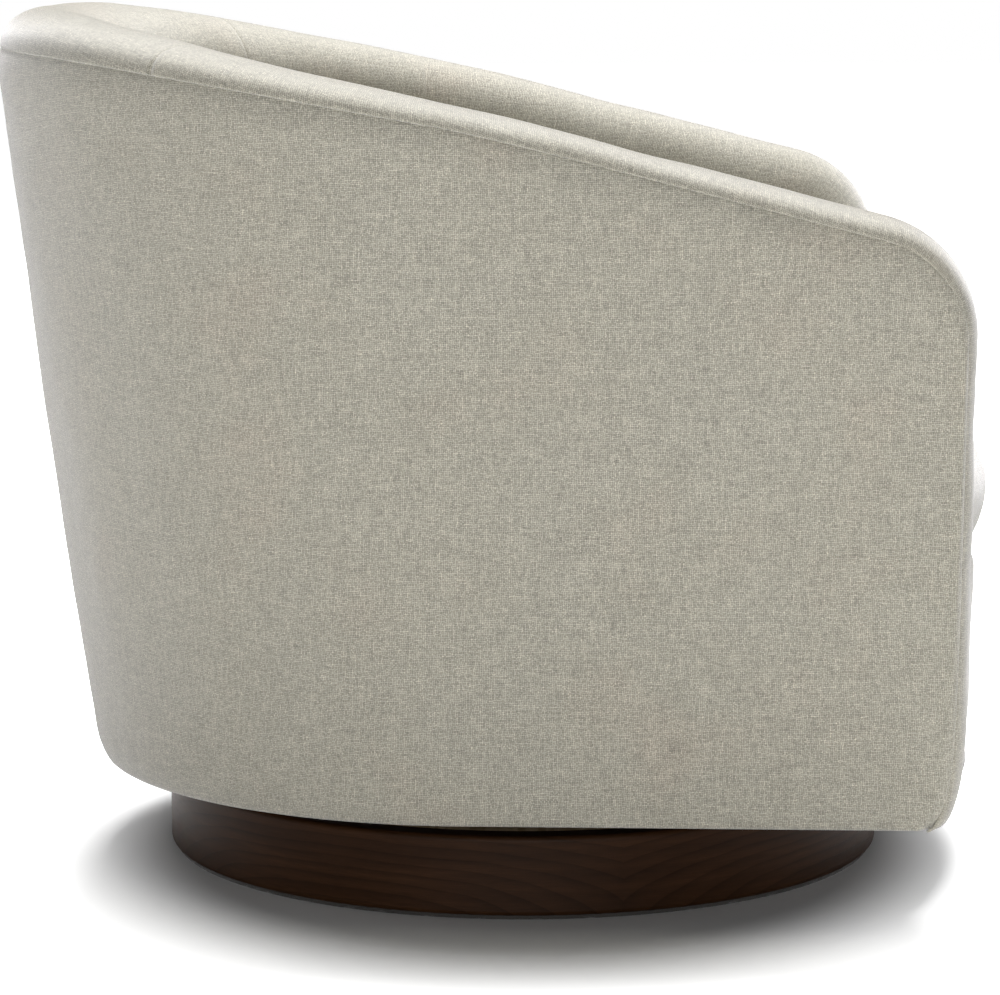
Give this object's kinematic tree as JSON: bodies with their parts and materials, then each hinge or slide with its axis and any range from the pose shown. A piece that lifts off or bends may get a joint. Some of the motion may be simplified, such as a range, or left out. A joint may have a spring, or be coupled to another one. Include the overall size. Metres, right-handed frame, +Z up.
{
  "type": "swivel barrel chair",
  "caption": "Low round-backed upholstered swivel chair: a leaning horseshoe shell with a rolled top band and a thick loose seat cushion, on a round dark wooden plinth.",
  "frame": {"origin": "on the floor, under the swivel axis, at the middle of the round plinth's felt foot ring", "axes": "+Z up along the swivel axis, -Y towards the front where a sitter's legs go, +Y towards the back, +X towards the sitter's left side as the chair faces -Y"},
  "size_m": [0.753, 0.8017, 0.6878],
  "materials": {
    "linen": "coarse two-way linen weave, matt",
    "walnut": "dark stained veneer, satin",
    "plywood": "unfinished",
    "fibreboard": "unfinished",
    "steel": "zinc plated",
    "ball_steel": "polished",
    "cage_plastic": "moulded",
    "clip_plastic": "moulded",
    "foam": "open-cell foam",
    "wadding": "soft fibre wadding",
    "grey_felt": "needled felt",
    "deck_cloth": "plain cloth",
    "black_cloth": "thin non-woven",
    "dark_felt": "pressed felt",
    "zip_tape": "woven tape",
    "zip_teeth": "nylon coil"
  },
  "bodies": {
    "base": {"floor_felt": "dark_felt", "plinth_ring": "walnut", "plinth_board": "plywood", "plinth_battens": "plywood", "plinth_blocks": "plywood", "swivel_lower_plate": "steel", "lower_plate_bolts": "steel", "lower_plate_nuts": "steel"},
    "ball_ring": {"swivel_balls": "ball_steel", "ball_cage": "cage_plastic"},
    "seat": {"swivel_upper_plate": "steel", "swivel_pivot": "steel", "pivot_washer": "steel", "pivot_nut": "steel", "upper_plate_bolts": "steel", "upper_plate_nuts": "steel", "bottom_board": "plywood", "seat_ring": "plywood", "front_rail": "plywood", "frame_posts": "plywood", "top_rail": "plywood", "arm_panel_left": "plywood", "arm_panel_right": "plywood", "outer_board": "fibreboard", "inner_board": "fibreboard", "outer_wadding": "wadding", "inner_foam": "foam", "roll_foam": "foam", "seat_springs": "steel", "spring_clips": "clip_plastic", "deck_felt": "grey_felt", "deck_cloth": "deck_cloth", "front_rail_foam": "foam", "front_rail_cover": "linen", "dust_cover": "black_cloth", "outer_cover": "linen", "inner_cover": "linen"},
    "cushion": {"cushion_core": "foam", "cushion_cover": "linen", "cushion_base_cloth": "black_cloth", "cushion_zip_tape": "zip_tape", "cushion_zip_teeth": "zip_teeth"},
    "zip_slider": {"zip_slider": "steel"}
  },
  "joints": [
    {"name": "seat_swivel", "type": "hinge", "parent": "base", "child": "seat", "pos_m": [0, 0, 0.074], "axis": [0, 0, 1], "continuous": true},
    {"name": "ball_ring_turn", "type": "hinge", "parent": "base", "child": "ball_ring", "pos_m": [0, 0, 0.074], "axis": [0, 0, 1], "continuous": true},
    {"name": "cushion_lift", "type": "slide", "parent": "seat", "child": "cushion", "axis": [0, 0, 1], "range_m": [0, 0.2]},
    {"name": "zip_slide", "type": "hinge", "parent": "cushion", "child": "zip_slider", "pos_m": [0, -0.04046, 0.3045], "axis": [0, 0, -1], "range_deg": [0, 36]}
  ],
  "couplings": [
    {"joint": "ball_ring_turn", "follows": "seat_swivel", "ratio": 0.5}
  ]
}
